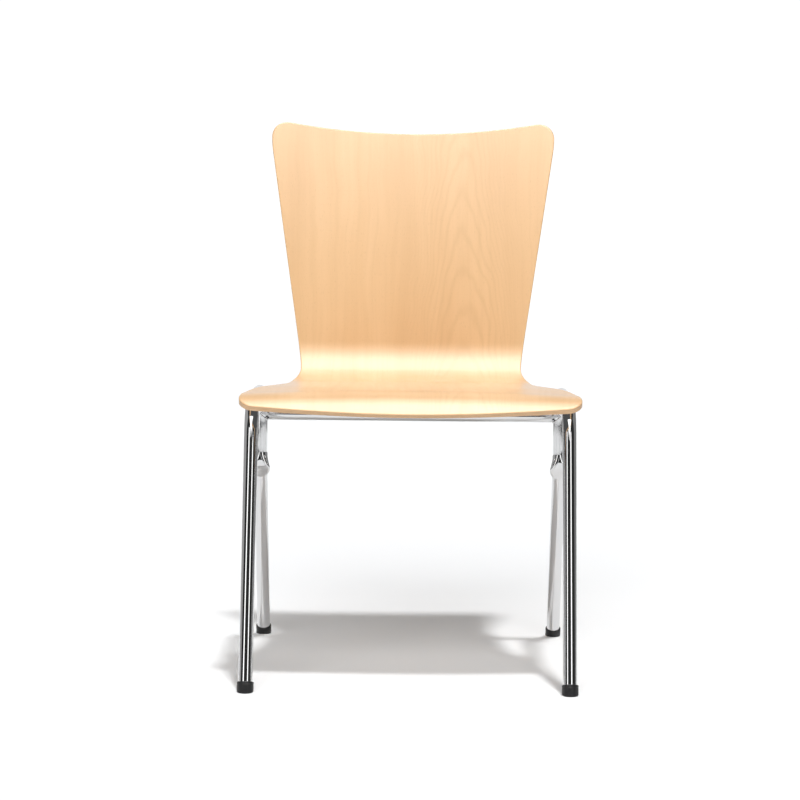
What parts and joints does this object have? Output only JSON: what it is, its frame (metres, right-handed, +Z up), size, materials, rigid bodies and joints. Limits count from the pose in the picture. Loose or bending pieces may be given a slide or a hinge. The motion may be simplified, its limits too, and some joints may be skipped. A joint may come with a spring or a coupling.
{
  "type": "stacking chair",
  "caption": "Four-legged stacking chair with a one-piece moulded plywood seat and back on a bent chrome tube frame with clip-on glides.",
  "frame": {"origin": "centre of the chair's footprint, on the floor", "axes": "+Z up, +Y to the back of the chair, the sitter faces -Y, +X to the right when seen from the front"},
  "size_m": [0.537, 0.5416, 0.8817],
  "materials": {
    "plywood": "clear lacquered beech veneer",
    "chrome": "polished chrome plate",
    "zinc": "zinc plated",
    "glide": "black moulded plastic",
    "pad": "black elastomer",
    "buffer": "black moulded plastic"
  },
  "bodies": {
    "root": {"shell": "plywood", "side_frame_left": "chrome", "side_frame_right": "chrome", "rear_leg_left": "chrome", "rear_leg_right": "chrome", "front_cross_tube": "chrome", "rear_cross_tube": "chrome", "front_plate_left": "chrome", "front_plate_right": "chrome", "rear_strap_left": "chrome", "rear_strap_right": "chrome", "front_pad_left": "pad", "front_pad_right": "pad", "rear_pad_left": "pad", "rear_pad_right": "pad", "threaded_inserts": "zinc", "shell_screws": "zinc", "washers": "zinc", "front_glide_left": "glide", "front_glide_right": "glide", "rear_glide_left": "glide", "rear_glide_right": "glide", "glide_discs": "zinc", "stacking_buffer_left": "buffer", "stacking_buffer_right": "buffer"}
  },
  "joints": []
}
